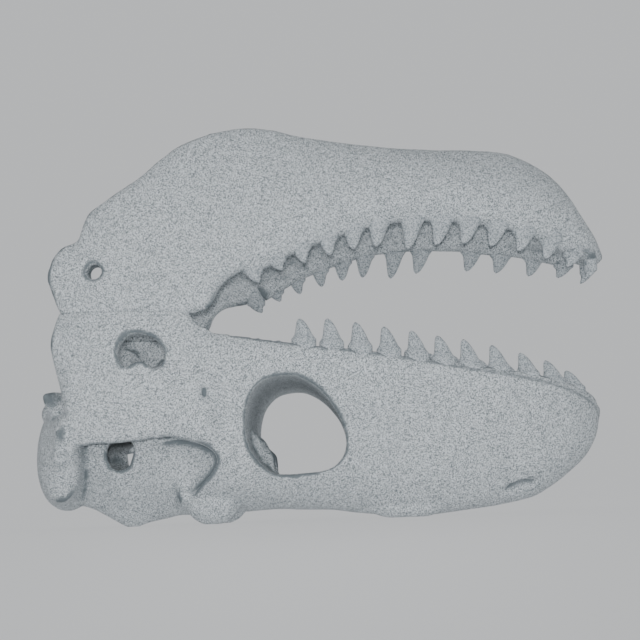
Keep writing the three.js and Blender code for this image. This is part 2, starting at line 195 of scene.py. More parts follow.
def lump(
    name: str, centre: Sequence[float], size: Sequence[float], turn: float = 0.0
) -> bpy.types.Object:
    """An egg-shaped lump with its own half-sizes.

    Args:
        name: the object's name.
        centre: its middle.
        size: its half-sizes along X, Y and Z.
        turn: how far it is turned about Y, in radians.

    Returns:
        The lump.
    """
    bm = bmesh.new()
    bmesh.ops.create_icosphere(bm, subdivisions=4, radius=1.0)
    stretch = Matrix.Rotation(turn, 4, "Y") @ Matrix.Diagonal((*size, 1.0))
    bmesh.ops.transform(bm, matrix=Matrix.Translation(centre) @ stretch, verts=bm.verts)
    return new_object(name, bm)


def bar(name: str, stops: Sequence[Sequence[float]]) -> bpy.types.Object:
    """A bar of changing radius along stops.

    Args:
        name: the object's name.
        stops: [x, y, z, radius] of each stop.

    Returns:
        The bar.
    """
    last = len(stops) - 1
    lines = [Curve(tuple((i / last, stop[k]) for i, stop in enumerate(stops))) for k in range(4)]

    def middle(along: float) -> Vector:
        """The bar's middle, for how far along it, 0 to 1."""
        return Vector([lines[k](along) for k in range(3)])

    def place(along: float, angle: float) -> Vector:
        """A point of the bar's skin.

        Args:
            along: how far along the bar, 0 to 1.
            angle: where round it, in radians.

        Returns:
            The point.
        """
        ahead, behind = middle(min(1.0, along + BAR_NUDGE)), middle(max(0.0, along - BAR_NUDGE))
        turn = (ahead - behind).to_track_quat("Z", "Y")
        out = Vector((math.cos(angle), math.sin(angle), 0.0)) * lines[3](along)
        return middle(along) + turn @ out

    return tube(name, 12 * last, 24, place)


def block(name: str, low: Sequence[float], high: Sequence[float]) -> bpy.types.Object:
    """A box between two corners, for cutting.

    Args:
        name: the object's name.
        low: the corner with the lowest numbers.
        high: the corner with the highest numbers.

    Returns:
        The box.
    """
    bm = bmesh.new()
    bmesh.ops.create_cube(bm, size=1.0)
    size = [b - a for a, b in zip(low, high)]
    middle = [(a + b) / 2 for a, b in zip(low, high)]
    stretch = Matrix.Translation(middle) @ Matrix.Diagonal((*size, 1.0))
    bmesh.ops.transform(bm, matrix=stretch, verts=bm.verts)
    return new_object(name, bm)


def between(a: float, b: float, c: float, d: float, t: float) -> float:
    """A value between b and c on the smooth line through a, b, c and d.

    Args:
        a: the value before b.
        b: the value where the stretch starts.
        c: the value where it ends.
        d: the value after c.
        t: how far from b to c, 0 to 1.

    Returns:
        The value.
    """
    square = (2 * a - 5 * b + 4 * c - d) * t**2
    cube = (3 * b - a - 3 * c + d) * t**3
    return 0.5 * (2 * b + (c - a) * t + square + cube)


def closed_line(points: Outline, steps: int) -> list[tuple[float, float]]:
    """A smooth closed outline through points.

    Args:
        points: the outline's [x, z] points in order.
        steps: how many points each stretch becomes.

    Returns:
        The finer outline.
    """
    made = []
    count = len(points)
    for i in range(count):
        near = [points[(i + k - 1) % count] for k in range(4)]
        for step in range(steps):
            x, z = (between(*(point[k] for point in near), step / steps) for k in range(2))
            made.append((x, z))
    return made


def opening(name: str, outline: Outline, y_from: float, y_to: float) -> bpy.types.Object:
    """A cutter of an [x, z] outline, from one side to the other.

    Args:
        name: the object's name.
        outline: the opening's points, seen from the side.
        y_from: where it starts across the skull.
        y_to: where it ends.

    Returns:
        The cutter.
    """
    line = closed_line(outline, OUTLINE_STEPS)
    bm = bmesh.new()
    ring = bmesh.ops.create_circle(bm, cap_ends=True, segments=len(line), radius=1.0)["verts"]
    for vert, (x, z) in zip(ring, line):
        vert.co = (x, y_from, z)
    walls = bmesh.ops.extrude_face_region(bm, geom=bm.faces[:])
    moved = [part for part in walls["geom"] if isinstance(part, bmesh.types.BMVert)]
    bmesh.ops.translate(bm, vec=(0.0, y_to - y_from, 0.0), verts=moved)
    return new_object(name, bm)


def apply_modifiers(made: bpy.types.Object) -> None:
    """Makes an object's modifiers part of its mesh."""
    shown = made.evaluated_get(bpy.context.evaluated_depsgraph_get())
    finished = bpy.data.meshes.new_from_object(shown)
    made.modifiers.clear()
    old, made.data = made.data, finished
    bpy.data.meshes.remove(old)


def combine(base: bpy.types.Object, others: Sequence[bpy.types.Object], how: Cut) -> None:
    """Joins solids to a base, or cuts them out of it.

    Args:
        base: the solid that is changed.
        others: the solids that change it, which are used up.
        how: what is done with each.
    """
    for other in others:
        cutter = base.modifiers.new("cut", "BOOLEAN")
        cutter.operation = how.value
        cutter.solver = "MANIFOLD"
        cutter.object = other
        apply_modifiers(base)
        mesh = other.data
        bpy.data.objects.remove(other)
        bpy.data.meshes.remove(mesh)


def soften(made: bpy.types.Object, voxel: float, rounds: int) -> None:
    """Gives a solid one even skin and rounds its edges.

    Args:
        made: the solid.
        voxel: the size of its faces.
        rounds: how often its points are drawn towards their neighbours.
    """
    remesh = made.modifiers.new("even", "REMESH")
    remesh.mode = "VOXEL"
    remesh.voxel_size = voxel
    apply_modifiers(made)
    bm = bmesh.new()
    bm.from_mesh(made.data)
    for _ in range(rounds):
        bmesh.ops.smooth_vert(
            bm, verts=bm.verts, factor=0.5, use_axis_x=True, use_axis_y=True, use_axis_z=True
        )
    bm.to_mesh(made.data)
    bm.free()


def points_and_normals(mesh: bpy.types.Mesh) -> tuple[np.ndarray, np.ndarray]:
    """A mesh's points and the way each faces, as arrays."""
    points = np.empty(len(mesh.vertices) * 3)
    mesh.vertices.foreach_get("co", points)
    normals = np.empty(len(mesh.vertices) * 3)
    mesh.vertex_normals.foreach_get("vector", normals)
    return points.reshape(-1, 3), normals.reshape(-1, 3)


def store_points(mesh: bpy.types.Mesh, points: np.ndarray) -> None:
    """Moves a mesh's points."""
    mesh.vertices.foreach_set("co", points.ravel())
    mesh.update()


def ripple(made: bpy.types.Object, reach: float, depth: float, seed: float) -> None:
    """Gives a bone's skin the slight swells of a real one.

    Args:
        made: the bone.
        reach: how far apart the swells are.
        depth: how high they stand.
        seed: sets this bone's own pattern.
    """
    points, normals = points_and_normals(made.data)
    shift = Vector((seed, seed * 0.7, seed * 1.3))
    swell = np.array([noise.noise(Vector(p) / reach + shift) for p in points])
    fine = np.array([noise.noise(Vector(p) / (reach * FINE_REACH) - shift) for p in points])
    store_points(made.data, points + normals * (depth * (swell + FINE_SHARE * fine))[:, None])


def relief(mesh: bpy.types.Mesh, rounds: int, depth: float) -> np.ndarray:
    """How hollow or proud each point lies against its neighbourhood.

    Args:
        mesh: the bone's skin.
        rounds: how wide a neighbourhood each point is compared with.
        depth: the hollow, in millimetres, that counts as a full one.

    Returns:
        For each point, 1 where it is hollow and -1 where it is proud.
    """
    points, normals = points_and_normals(mesh)
    edges = np.empty(len(mesh.edges) * 2, dtype=np.int32)
    mesh.edges.foreach_get("vertices", edges)
    a, b = edges.reshape(-1, 2).T
    count = np.bincount(np.concatenate([a, b]), minlength=len(points))[:, None]
    even = points.copy()
    for _ in range(rounds):
        total = np.zeros_like(even)
        for axis in range(3):
            total[:, axis] = np.bincount(a, even[b, axis], len(even))
            total[:, axis] += np.bincount(b, even[a, axis], len(even))
        even = 0.5 * even + 0.5 * total / count
    return np.clip(np.einsum("ij,ij->i", even - points, normals) / depth, -1.0, 1.0)


def note_painted_shade(made: bpy.types.Object, line: np.ndarray | float = 0.0) -> None:
    """Keeps a bone's broad hollows and its sharp rims and creases, where its finish paints shade:
    darker in the hollows, and dark painted outlines of shade along rims and creases.

    Args:
        made: the bone.
        line: how near each point lies to a rim that gets a sharp dark line of painted shade whatever
            its relief, 0 to 1.
    """
    points, _ = points_and_normals(made.data)
    clear_of_joint = np.abs(points[:, 2] - JAW_JOINT_Z) > 2 * VOXEL
    # Painted shade: hollow darkens the broad hollows, and rim draws dark lines along sharp rims,
    # creases and the lip.
    for name, values in (
        ("hollow", relief(made.data, HOLLOW_ROUNDS, HOLLOW_DEPTH)),
        ("rim", np.maximum(np.abs(relief(made.data, RIM_ROUNDS, RIM_DEPTH)), line)),
    ):
        layer = made.data.attributes.new(name, "FLOAT", "POINT")
        layer.data.foreach_set("value", (values * clear_of_joint).astype(np.float32))


def level_frame() -> Matrix:
    """The move from the drawing, in millimetres, to the level model, also in millimetres."""
    return Matrix.Translation((-CENTRE_X, 0.0, -REST_PLANE)) @ Matrix.Rotation(PITCH, 4, "Y")


def settle(made: bpy.types.Object, stands_for: Sequence[str]) -> bpy.types.Object:
    """Sets a finished piece into the model's frame and puts it on its body.

    Args:
        made: the piece, drawn in millimetres.
        stands_for: the solids it replaces.

    Returns:
        The piece.
    """
    mesh = made.data
    mesh.transform(level_frame())
    points, _ = points_and_normals(mesh)
    points[:, 2] = np.maximum(points[:, 2], 0.0)
    store_points(mesh, points)
    mesh.transform(Matrix.Scale(MILLIMETRE, 4))
    mesh.polygons.foreach_set("use_smooth", [True] * len(mesh.polygons))
    mesh.update()
    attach(made, "root")
    if stands_for:
        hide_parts(*stands_for)
    LOG.info("%s has %d faces", made.name, len(mesh.polygons))
    return made


def dress(piece: bpy.types.Object, finish: bpy.types.Material) -> bpy.types.Object:
    """Gives a piece one finish all over, and hands the piece back."""
    piece.data.materials.clear()
    piece.data.materials.append(finish)
    return piece


def grow_skin(bone: bpy.types.Object, seed: float, room: bpy.types.Object) -> None:
    """Gives a bone one even skin with slight swells, and keeps what lies in its room.

    Args:
        bone: the bone's joined forms.
        seed: sets this bone's own pattern of swells.
        room: the box that it must stay in, which is used up.
    """
    soften(bone, VOXEL, SOFTENING)
    ripple(bone, SWELL_REACH, SWELL_DEPTH, seed)
    combine(bone, [room], Cut.KEEP_COMMON)


@dataclass(frozen=True)
class SideLump:
    """An egg-shaped lump that stands on both sides of the skull, drawn on its right."""

    name: str
    centre: tuple[float, float, float]
    size: tuple[float, float, float]
    turn: float = 0.0

    def build(self, side: Side) -> bpy.types.Object:
        """The lump of one side."""
        x, y, z = self.centre
        return lump(self.name, (x, side.value * y, z), self.size, self.turn)


@dataclass(frozen=True)
class SideBar:
    """A bar that runs on both sides of the skull, drawn on its right as [x, y, z, radius] stops."""

    name: str
    stops: tuple[tuple[float, float, float, float], ...]

    def build(self, side: Side) -> bpy.types.Object:
        """The bar of one side."""
        return bar(self.name, [(x, side.value * y, z, radius) for x, y, z, radius in self.stops])


def on_both_sides(shapes: Sequence[SideLump | SideBar]) -> list[bpy.types.Object]:
    """Builds shapes on the left, and then on the right."""
    return [shape.build(side) for side in Side for shape in shapes]


@dataclass(frozen=True)
class Profile:
    """The lines that the skull's forms share, along its length."""

    jaw_margin: Curve = Curve((
        (-262, 451), (-248, 434), (-220, 425), (-140, 415), (-60, 405), (27, 396), (105, 387),
        (183, 377), (261, 365), (339, 353), (416, 342), (475, 331), (530, 317), (570, 302),
        (600, 284), (619, 262),
    ))
    roof: Curve = Curve((
        (-296, 34), (-245, 38), (-165, 42), (-129, 45), (-82, 47), (22, 45), (97, 38), (143, 34),
        (190, 30), (241, 34), (285, 41), (346, 49), (408, 60), (458, 71), (497, 91), (546, 128),
        (588, 171), (609, 211), (619, 250),
    ))
    margin_half_width: Curve = Curve((
        (-262, 258), (-180, 248), (-100, 236), (0, 224), (100, 212), (200, 202), (300, 188),
        (400, 170), (475, 148), (530, 122), (570, 92), (600, 54), (619, 14),
    ))
    roof_half_width: Curve = Curve((
        (-296, 112), (-262, 134), (-200, 142), (-120, 134), (0, 122), (100, 100), (200, 88),
        (300, 84), (400, 80), (475, 74), (530, 66), (570, 54), (600, 34), (619, 10),
    ))
    flare: Curve = Curve(((-296, 0.25), (-190, 0.35), (-60, 0.62), (100, 0.8)))


@dataclass(frozen=True)
class Face:
    """The face and snout: one tapering form with a narrow roof and a broad jaw margin."""

    lines: Profile = Profile()
    back: float = -296.0
    front: float = 619.0
    crowding: float = 1.6
    margin_squareness: float = 6.5
    roof_squareness: float = 2.9
    rim_rise: float = 6.0
    rim_width: float = 30.0
    palate_back: float = -300.0
    palate_length: float = 866.0
    palate_depth: float = 34.0
    palate_squareness: float = 4.5
    least_palate: float = 8.0
    # Where the lip's painted shade, a dark line along the upper jaw's rim, runs and how wide it is
    lip_back: float = -180.0
    lip_drop: float = 23.0
    lip_inset: float = 33.0
    lip_spread: float = 12.0
    lip_stations: int = 300

    def form(self) -> bpy.types.Object:
        """The face's solid, which the other forms are joined to.

        Returns:
            The solid.
        """
        lines = self.lines
        span = self.front - self.back

        def place(along: float, angle: float) -> Vector:
            """A point of the face's skin, with closer rows towards the snout's tip.

            Args:
                along: how far towards the snout, 0 to 1.
                angle: where round the face, in radians.

            Returns:
                The point.
            """
            x = self.back + span * (1 - (1 - along) ** self.crowding)
            high, low = lines.jaw_margin(x) + self.rim_rise, lines.roof(x)
            squareness = self.margin_squareness if math.sin(angle) > 0 else self.roof_squareness
            across, up = superellipse(angle, squareness)
            spread = ((up + 1) / 2) ** lines.flare(x)
            top, foot = lines.margin_half_width(x), lines.roof_half_width(x)
            half = foot + (top - foot) * spread
            return Vector((x, across * half, (high + low) / 2 + up * (high - low) / 2))

        return tube("upper_bone", 96, 96, place)

    def palate(self) -> bpy.types.Object:
        """The cutter of the hollow between the two upper tooth rows.

        Returns:
            The cutter.
        """

        def place(along: float, angle: float) -> Vector:
            """A point of the hollow's skin.

            Args:
                along: how far towards the snout, 0 to 1.
                angle: where round the hollow, in radians.

            Returns:
                The point.
            """
            x = self.palate_back + self.palate_length * along
            across, up = superellipse(angle, self.palate_squareness)
            half = max(self.least_palate, self.lines.margin_half_width(x) - self.rim_width)
            return Vector((x, across * half, self.lines.jaw_margin(x) + up * self.palate_depth))

        return tube("palate", 48, 48, place)

    def lip(self, bone: bpy.types.Object) -> np.ndarray:
        """How near each point lies to the lip that the upper teeth stand behind, where the finish
        paints a dark line of painted shade.

        Args:
            bone: the finished upper skull, still in the drawing's millimetres.

        Returns:
            For each point, 1 on the lip and 0 away from it.
        """
        x, y, z = points_and_normals(bone.data)[0].T
        stations = np.linspace(self.lines.jaw_margin.points[0][0], self.front, self.lip_stations)
        margin = np.interp(x, stations, [self.lines.jaw_margin(at) for at in stations])
        half = np.interp(x, stations, [self.lines.margin_half_width(at) for at in stations])
        edge = margin + self.rim_rise - self.lip_drop
        outside = (np.abs(y) > half - self.lip_inset) & (x > self.lip_back)
        return np.clip(1.0 - np.abs(z - edge) / self.lip_spread, 0.0, 1.0) * outside


@dataclass(frozen=True)
class Braincase:
    """The braincase with the pointed crest that the skull rests on."""

    back: float = -560.0
    length: float = 400.0
    squareness: float = 2.5
    steepness: float = 3.0
    crest: Curve = Curve((
        (-560, 92), (-535, 58), (-503, 48), (-465, 30), (-436, 13), (-413, 4), (-392, 12),
        (-371, 20), (-338, 27), (-294, 36), (-200, 42),
    ))
    top: Curve = Curve(((-560, 300), (-460, 340), (-300, 372), (-160, 385)))
    wall: Curve = Curve((
        (-560, 110), (-500, 126), (-430, 130), (-370, 138), (-300, 158), (-160, 158)
    ))
    ridge: Curve = Curve((
        (-560, 70), (-480, 60), (-413, 44), (-350, 88), (-296, 134), (-160, 134)
    ))
    space_at: tuple[float, float, float] = (-440, 0, 158)
    space_size: tuple[float, float, float] = (66, 116, 34)
    knobs: tuple[SideBar, ...] = (
        SideBar("eye_knob", ((-168, 60, 206, 20), (-138, 60, 186, 19), (-122, 60, 144, 14))),
        SideBar("eye_knob", ((-150, 60, 178, 16), (-112, 48, 160, 15), (-104, 48, 128, 11))),
    )

    def form(self) -> bpy.types.Object:
        """The braincase's solid.

        Returns:
            The solid.
        """

        def place(along: float, angle: float) -> Vector:
            """A point of the braincase's skin.

            Args:
                along: how far towards the snout, 0 to 1.
                angle: where round the braincase, in radians.

            Returns:
                The point.
            """
            x = self.back + self.length * along
            across, up = superellipse(angle, self.squareness)
            spread = min(1.0, (up + 1) / 2 * self.steepness)
            half = self.ridge(x) + (self.wall(x) - self.ridge(x)) * spread
            low, high = self.crest(x), self.top(x)
            return Vector((x, across * half, (low + high) / 2 + up * (high - low) / 2))

        return tube("braincase", 40, 56, place)

    def space(self) -> bpy.types.Object:
        """The cutter of the space inside, which shows through the temple windows."""
        return lump("brain_space", self.space_at, self.space_size)


@dataclass(frozen=True)
class Occiput:
    """The broad crest across the back of the skull, with its condyle, processes and squamosals."""

    half_width: float = 226.0
    squareness: float = 2.2
    middle_x: Curve = Curve(((0, -560), (130, -546), (224, -520)))
    half_length: Curve = Curve(((0, 64), (130, 50), (200, 31), (224, 18)))
    middle_z: Curve = Curve(((0, 167), (110, 158), (170, 152), (224, 200)))
    half_height: Curve = Curve(((0, 124), (110, 98), (170, 90), (200, 66), (224, 36)))
    condyle_at: tuple[float, float, float] = (-598, 0, 258)
    condyle_size: tuple[float, float, float] = (26, 32, 28)
    process: SideBar = SideBar("process", (
        (-530, 110, 240, 44), (-552, 165, 268, 27), (-568, 206, 281, 5)
    ))
    squamosal: SideBar = SideBar("squamosal", (
        (-500, 230, 230, 8), (-519, 220, 196, 22), (-522, 196, 146, 25), (-534, 138, 86, 15)
    ))

    def forms(self) -> list[bpy.types.Object]:
        """The crest, the condyle and the processes.

        Returns:
            The solids.
        """

        def place(along: float, angle: float) -> Vector:
            """A point of the crest's skin.

            Args:
                along: how far from the left to the right, 0 to 1.
                angle: where round the crest, in radians.

            Returns:
                The point.
            """
            y = self.half_width * (2 * along - 1)
            out = abs(y)
            back, up = superellipse(angle, self.squareness)
            x = self.middle_x(out) + back * self.half_length(out)
            return Vector((x, y, self.middle_z(out) + up * self.half_height(out)))

        crest = tube("occiput", 56, 48, place)
        condyle = lump("condyle", self.condyle_at, self.condyle_size)
        return [crest, condyle, *on_both_sides((self.process,))]


@dataclass(frozen=True)
class Cheek:
    """A tall plate from the back of the eye opening to the jaw joint, with the bars inside it."""

    side: Side
    back: float = -552.0
    length: float = 362.0
    thickness: float = 40.0
    squareness: float = 3.2
    bow: float = 0.05
    low: Curve = Curve((
        (-552, 372), (-546, 345), (-534, 303), (-517, 240), (-504, 192), (-488, 172), (-463, 176),
        (-422, 179), (-360, 185), (-299, 193), (-255, 186), (-225, 168), (-190, 150),
    ))
    high: Curve = Curve((
        (-552, 404), (-546, 436), (-534, 462), (-500, 490), (-274, 490), (-262, 452), (-248, 434),
        (-220, 424), (-190, 419),
    ))
    half_width: Curve = Curve((
        (-552, 236), (-500, 250), (-400, 260), (-300, 260), (-255, 256), (-220, 245), (-190, 216)
    ))
    quadrate: SideBar = SideBar("quadrate", (
        (-470, 222, 410, 34), (-488, 170, 350, 32), (-500, 90, 270, 40)
    ))
    pterygoid: SideBar = SideBar("pterygoid", (
        (-240, 228, 384, 30), (-264, 165, 372, 26), (-292, 60, 346, 40)
    ))

    def forms(self) -> list[bpy.types.Object]:
        """The plate, and the bars that tie it to the middle of the skull.

        Returns:
            The solids.
        """

        def place(along: float, angle: float) -> Vector:
            """A point of the plate's skin.

            Args:
                along: how far towards the snout, 0 to 1.
                angle: where round the plate, in radians.

            Returns:
                The point.
            """
            x = self.back + self.length * along
            across, up = superellipse(angle, self.squareness)
            bowed = self.half_width(x) * (1 - self.bow * up * up)
            y = bowed - self.thickness * (1 - across) / 2
            low, high = self.low(x), self.high(x)
            return Vector((x, self.side.value * y, (low + high) / 2 + up * (high - low) / 2))

        plate = tube("cheek", 60, 56, place)
        return [plate, self.quadrate.build(self.side), self.pterygoid.build(self.side)]


@dataclass(frozen=True)
class UpperSkull:
    """The upper skull: its face, braincase, occiput and cheeks, with the openings and bosses."""

    face: Face = Face()
    braincase: Braincase = Braincase()
    occiput: Occiput = Occiput()
    temple_depth: float = 138.0
    cheek_depth: float = 190.0
    seed: float = 3.1
    orbit: Outline = (
        (-62, 322), (-108, 312), (-135, 282), (-146, 241), (-145, 199), (-136, 166), (-111, 135),
        (-86, 121), (-34, 121), (17, 129), (46, 146), (60, 176), (56, 212), (38, 255), (3, 295),
        (-30, 316),
    )
    cheek_window: Outline = (
        (-408, 361), (-402, 386), (-382, 404), (-350, 402), (-322, 386), (-309, 362), (-316, 338),
        (-334, 332), (-352, 346), (-372, 345), (-392, 334),
    )
    temple: Outline = (
        (-500, 60), (-492, 110), (-489, 150), (-480, 172), (-463, 177), (-422, 179), (-360, 185),
        (-299, 193), (-250, 184), (-216, 168), (-204, 148), (-216, 122), (-244, 96), (-268, 66),
        (-288, 34), (-300, -60), (-500, -60),
    )
    temple_window: Outline = (
        (-446, 188), (-447, 150), (-436, 132), (-412, 130), (-398, 146), (-394, 188)
    )
    nostril: SideLump = SideLump("nostril", (436, 71, 93), (42, 14, 20), -0.2)
    nose_crease: SideBar = SideBar("nose_crease", ((94, 52, 42, 8), (92, 79, 60, 7), (90, 106, 86, 5)))
    ear_pit: SideLump = SideLump("ear_pit", (-228, 256, 283), (9, 30, 20))
    brow_boss: SideLump = SideLump("brow_boss", (-226, 100, 67), (60, 51, 54))
    nose_boss: SideLump = SideLump("nose_boss", (186, 36, 52), (84, 40, 25))

    def openings(self) -> list[bpy.types.Object]:
        """The cutters of the palate, eye, cheek, temple, nostril and ear openings.

        Returns:
            The cutters.
        """
        depth = self.temple_depth
        cutters = [
            self.face.palate(),
            opening("orbit", self.orbit, -FAR, FAR),
            opening("temple_window", self.temple_window, -depth, depth),
            self.braincase.space(),
        ]
        for side in Side:
            far = side.value * FAR
            cutters += [
                opening("cheek_window", self.cheek_window, side.value * self.cheek_depth, far),
                opening("temple", self.temple, side.value * depth, far),
                self.nostril.build(side),
                self.nose_crease.build(side),
                self.ear_pit.build(side),
            ]
        return cutters

    def build(self, finish: bpy.types.Material) -> bpy.types.Object:
        """The whole upper skull as one smooth bone, dressed.

        Args:
            finish: the bone's material.

        Returns:
            The piece.
        """
        bone = self.face.form()
        forms = [self.braincase.form(), *self.occiput.forms()]
        for side in Side:
            forms += Cheek(side).forms()
        combine(bone, forms, Cut.JOIN)
        combine(bone, self.openings(), Cut.TAKE_AWAY)
        bosses = on_both_sides((self.brow_boss, self.nose_boss))
        squamosals = on_both_sides((self.occiput.squamosal,))
        knobs = on_both_sides(self.braincase.knobs)
        combine(bone, [*bosses, *squamosals, *knobs], Cut.JOIN)
        under_jaw = block("under_jaw", (-FAR, -FAR, -FAR), (FAR, FAR, JAW_JOINT_Z - SEAM))
        grow_skin(bone, self.seed, under_jaw)
        # The lip line is painted shade: a dark line along the upper jaw's rim
        note_painted_shade(bone, self.face.lip(bone))
        stands_for = ("snout_tip", "snout", "braincase", "cheek_left", "cheek_right", "occiput")
        return dress(settle(bone, stands_for), finish)


@dataclass(frozen=True)
class LowerJaw:
    """One half of the lower jaw, whose lower edge points up here."""

    side: Side
    back: float = -564.0
    front: float = 634.0
    squareness: float = 2.8
    seed: float = 7.7
    shelf_back: float = -150.0
    shelf_length: float = 710.0
    shelf_spans: int = 8
    shelf_inset: float = 40.0
    least_shelf: float = 20.0
    shelf_rise: float = 5.0
    shelf_radius: float = 22.0
    lower_edge: Curve = Curve((
        (-564, 536), (-561, 556), (-550, 578), (-533, 596), (-508, 604), (-496, 618), (-493, 640),
        (-483, 666), (-452, 691), (-410, 722), (-376, 748), (-340, 783), (-300, 816), (-254, 839),
        (-209, 854), (-140, 864), (-94, 860), (-49, 850), (-12, 845), (49, 838), (135, 831),
        (221, 829), (307, 830), (371, 831), (416, 828), (453, 819), (485, 806), (512, 789),
        (536, 766), (569, 722), (602, 676), (625, 640), (634, 612),
    ))
    tooth_margin: Curve = Curve((
        (-564, 520), (-556, 500), (-546, 474), (-533, 446), (-500, 410), (-274, 410), (-258, 446),
        (-224, 461), (-213, 476), (-208, 494), (-197, 512), (-179, 525), (-159, 539), (-107, 566),
        (-44, 603), (26, 631), (96, 653), (168, 669), (260, 673), (353, 669), (426, 656),
        (499, 640), (540, 622), (575, 602), (616, 584), (634, 596),
    ))
    half_width: Curve = Curve((
        (-564, 236), (-500, 246), (-400, 256), (-300, 254), (-200, 244), (-100, 234), (0, 224),
        (100, 214), (200, 204), (300, 190), (400, 170), (475, 146), (532, 118), (574, 88),
        (608, 54), (634, 18),
    ))
    thickness: Curve = Curve((
        (-564, 30), (-500, 52), (-300, 54), (0, 56), (300, 60), (400, 72), (460, 110), (500, 150),
        (634, 150),
    ))
    lean: Curve = Curve((
        (-564, 6), (-300, 34), (0, 50), (300, 66), (450, 60), (566, 24), (634, 4)
    ))
    right_shift: Curve = Curve((
        (-400, 0), (-330, 60), (-250, 66), (-170, 22), (-100, 30), (380, 30), (560, 0)
    ))
    hole: SideLump = SideLump("jaw_hole", (-462, 240, 536), (17, 90, 18))

    def shift(self, x: float) -> float:
        """How far the right jaw's margin and teeth stand behind the left ones."""
        return self.right_shift(x) if self.side is Side.RIGHT else 0.0

    def margin(self, x: float) -> float:
        """The height of this side's tooth margin."""
        return self.tooth_margin(x + self.shift(x))

    def ramus(self) -> bpy.types.Object:
        """The deep blade of the jaw half.

        Returns:
            The blade's solid.
        """

        def place(along: float, angle: float) -> Vector:
            """A point of the blade's skin.

            Args:
                along: how far towards the chin, 0 to 1.
                angle: where round the blade, in radians.

            Returns:
                The point.
            """
            x = self.back + (self.front - self.back) * along
            low, high = self.margin(x), self.lower_edge(x)
            across, up = superellipse(angle, self.squareness)
            outer = self.half_width(x) - self.lean(x) * ((up + 1) / 2) ** 2
            y = outer - self.thickness(x) * (1 - across) / 2
            return Vector((x, self.side.value * y, (low + high) / 2 + up * (high - low) / 2))

        return tube(f"lower_bone_{self.side.word}", 150, 64, place)

    def shelf(self) -> bpy.types.Object:
        """The ledge that the teeth stand in, just inside the lip.

        Returns:
            The ledge's solid.
        """
        stops = []
        for i in range(self.shelf_spans + 1):
            x = self.shelf_back + self.shelf_length * i / self.shelf_spans
            y = max(self.least_shelf, self.half_width(x) - self.shelf_inset)
            z = self.margin(x) + self.shelf_rise
            stops.append((x, self.side.value * y, z, self.shelf_radius))
        return bar("shelf", stops)

    def build(self, finish: bpy.types.Material) -> bpy.types.Object:
        """The jaw half as one smooth bone, dressed.

        Args:
            finish: the bone's material.

        Returns:
            The piece.
        """
        bone = self.ramus()
        combine(bone, [self.shelf()], Cut.JOIN)
        combine(bone, [self.hole.build(self.side)], Cut.TAKE_AWAY)
        near, far = sorted((self.side.value * SEAM, self.side.value * FAR))
        room = block("jaw_room", (-FAR, near, JAW_JOINT_Z + SEAM), (FAR, far, FAR))
        grow_skin(bone, self.seed, room)
        note_painted_shade(bone)
        return dress(settle(bone, (f"lower_jaw_{self.side.word}",)), finish)


@dataclass(frozen=True)
class ToothSize:
    """The sizes of one kind of tooth."""

    width: Curve
    lean: Curve
    thickness: float
    sunk: float
    gum: float
    columns: int = 32
    rows: int = 26
    squareness: float = 1.9
    recurve: float = 1.6
    edge_sharpness: float = 5.0
    taper: Curve = Curve((
        (-0.6, 1.0), (0.0, 1.0), (0.1, 0.84), (0.25, 0.7), (0.5, 0.56), (0.75, 0.4), (0.9, 0.26),
        (0.97, 0.16), (1.0, 0.05),
    ))

    def shape(self, x: float, margin: float, tip: Vector, inward: float) -> bpy.types.Object:
        """One recurved tooth, flattened from side to side and broad at the gum.

        Args:
            x: where its root is along the jaw.
            margin: the height of the jaw's margin there.
            tip: its point, which is straight above or below its root from the side.
            inward: how far its point leans across the skull.

        Returns:
            The tooth.
        """
        up = math.copysign(1.0, tip.z - margin)
        gum = margin + up * self.gum
        root = margin - up * self.sunk
        width = self.width(tip.x)

        def place(along: float, angle: float) -> Vector:
            """A point of the tooth's skin.

            Args:
                along: how far from its root to its point, 0 to 1.
                angle: where round the tooth, in radians.

            Returns:
                The point.
            """
            z = root + (tip.z - root) * along
            rise = (z - gum) / (tip.z - gum)
            across, out = superellipse(angle, self.squareness)
            grow, crown = self.taper(rise), max(0.0, rise)
            return Vector((
                x + (tip.x - x) * crown**self.recurve + width / 2 * grow * across,
                tip.y + inward * crown + self.thickness / 2 * grow * out,
                z,
            ))

        return tube("tooth", self.rows, self.columns, place)

    def note_outline_shade(self, made: bpy.types.Object) -> None:
        """Keeps where the teeth's front and back faces turn away from the side, for the finish to
        paint dark outlines of shade there.

        Args:
            made: the row of teeth.
        """
        _, normals = points_and_normals(made.data)
        layer = made.data.attributes.new("rim", "FLOAT", "POINT")
        # Painted shade: darker where a tooth's skin faces forwards or backwards, as dark outlines
        sharp = np.abs(normals[:, 0]) ** self.edge_sharpness
        layer.data.foreach_set("value", sharp.astype(np.float32))


def gather(name: str, parts: Sequence[bpy.types.Object]) -> bpy.types.Object:
    """Puts separate closed shapes into one piece.

    Args:
        name: the piece's name.
        parts: the shapes, which are used up.

    Returns:
        The piece.
    """
    bm = bmesh.new()
    for part in parts:
        bm.from_mesh(part.data)
        mesh = part.data
        bpy.data.objects.remove(part)
        bpy.data.meshes.remove(mesh)
    return new_object(name, bm)


